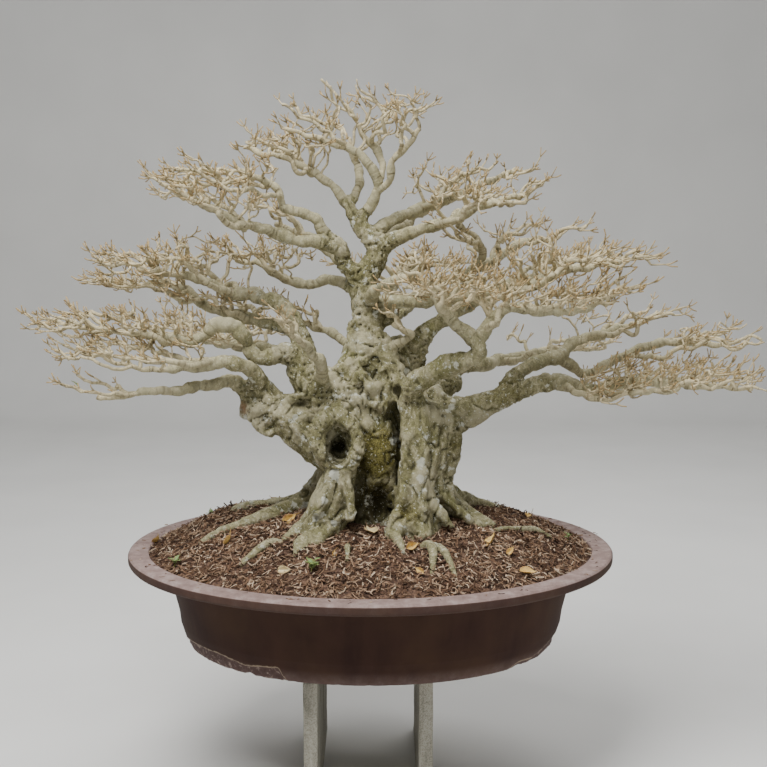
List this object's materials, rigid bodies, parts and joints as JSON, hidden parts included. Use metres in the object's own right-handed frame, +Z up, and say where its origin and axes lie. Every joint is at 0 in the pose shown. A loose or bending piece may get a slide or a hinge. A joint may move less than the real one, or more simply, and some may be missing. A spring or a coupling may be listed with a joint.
{
  "type": "ficus ampelas bonsai",
  "caption": "Leafless fig bonsai with a fused, many-columned trunk and finely ramified boughs, standing in an oval clay pot on a low concrete stand.",
  "frame": {"origin": "middle of the box's underside, on the surface that the stand's legs rest on", "axes": "+Z up, +X to the right as seen from the viewing side, +Y away from the viewing side"},
  "size_m": [1.3426, 0.778, 1.2951],
  "materials": {
    "bark": "rough grey-beige bark with lichen and moss",
    "twig": "rough thin bark, tan at the tips",
    "clay": "unglazed, matt, weathered",
    "mulch": "fibrous shredded bark and soil",
    "concrete": "weathered cast concrete",
    "fallen_leaf": "dry leaf",
    "green_leaf": "fresh leaf",
    "plastic_mesh": "matt black"
  },
  "bodies": {
    "root": {"drain_mesh_left": "plastic_mesh", "drain_mesh_right": "plastic_mesh", "fallen_leaf_1": "fallen_leaf", "fallen_leaf_2": "fallen_leaf", "fallen_leaf_3": "fallen_leaf", "fallen_leaf_4": "fallen_leaf", "fallen_leaf_5": "fallen_leaf", "fallen_leaf_6": "fallen_leaf", "pot": "clay", "root_far_left": "bark", "root_middle": "bark", "root_right": "bark", "root_right_thin": "bark", "seedling_front": "green_leaf", "seedling_left": "green_leaf", "soil": "mulch", "spray_apex_left": "twig", "spray_arching_left": "twig", "spray_back_left": "twig", "spray_back_right": "twig", "spray_big_right": "twig", "spray_big_right_upper": "twig", "spray_crown_left": "twig", "spray_fore_left": "twig", "spray_fore_middle": "twig", "spray_front_right": "twig", "spray_hind_apex": "twig", "spray_hind_left_low": "twig", "spray_hind_middle": "twig", "spray_hind_right_low": "twig", "spray_hind_upper_left": "twig", "spray_hind_upper_right": "twig", "spray_inner_right": "twig", "spray_long_left": "twig", "spray_low_left_back": "twig", "spray_low_left_front": "twig", "spray_lowest_left": "twig", "spray_mid_left": "twig", "spray_right_long": "twig", "spray_right_riser": "twig", "spray_small_back_left": "twig", "spray_upper_left_leader": "twig", "spray_upper_right": "twig", "spray_upper_right_back": "twig", "stand_leg_left": "concrete", "stand_leg_right": "concrete", "stand_top": "concrete", "trunk": "bark"}
  },
  "joints": []
}
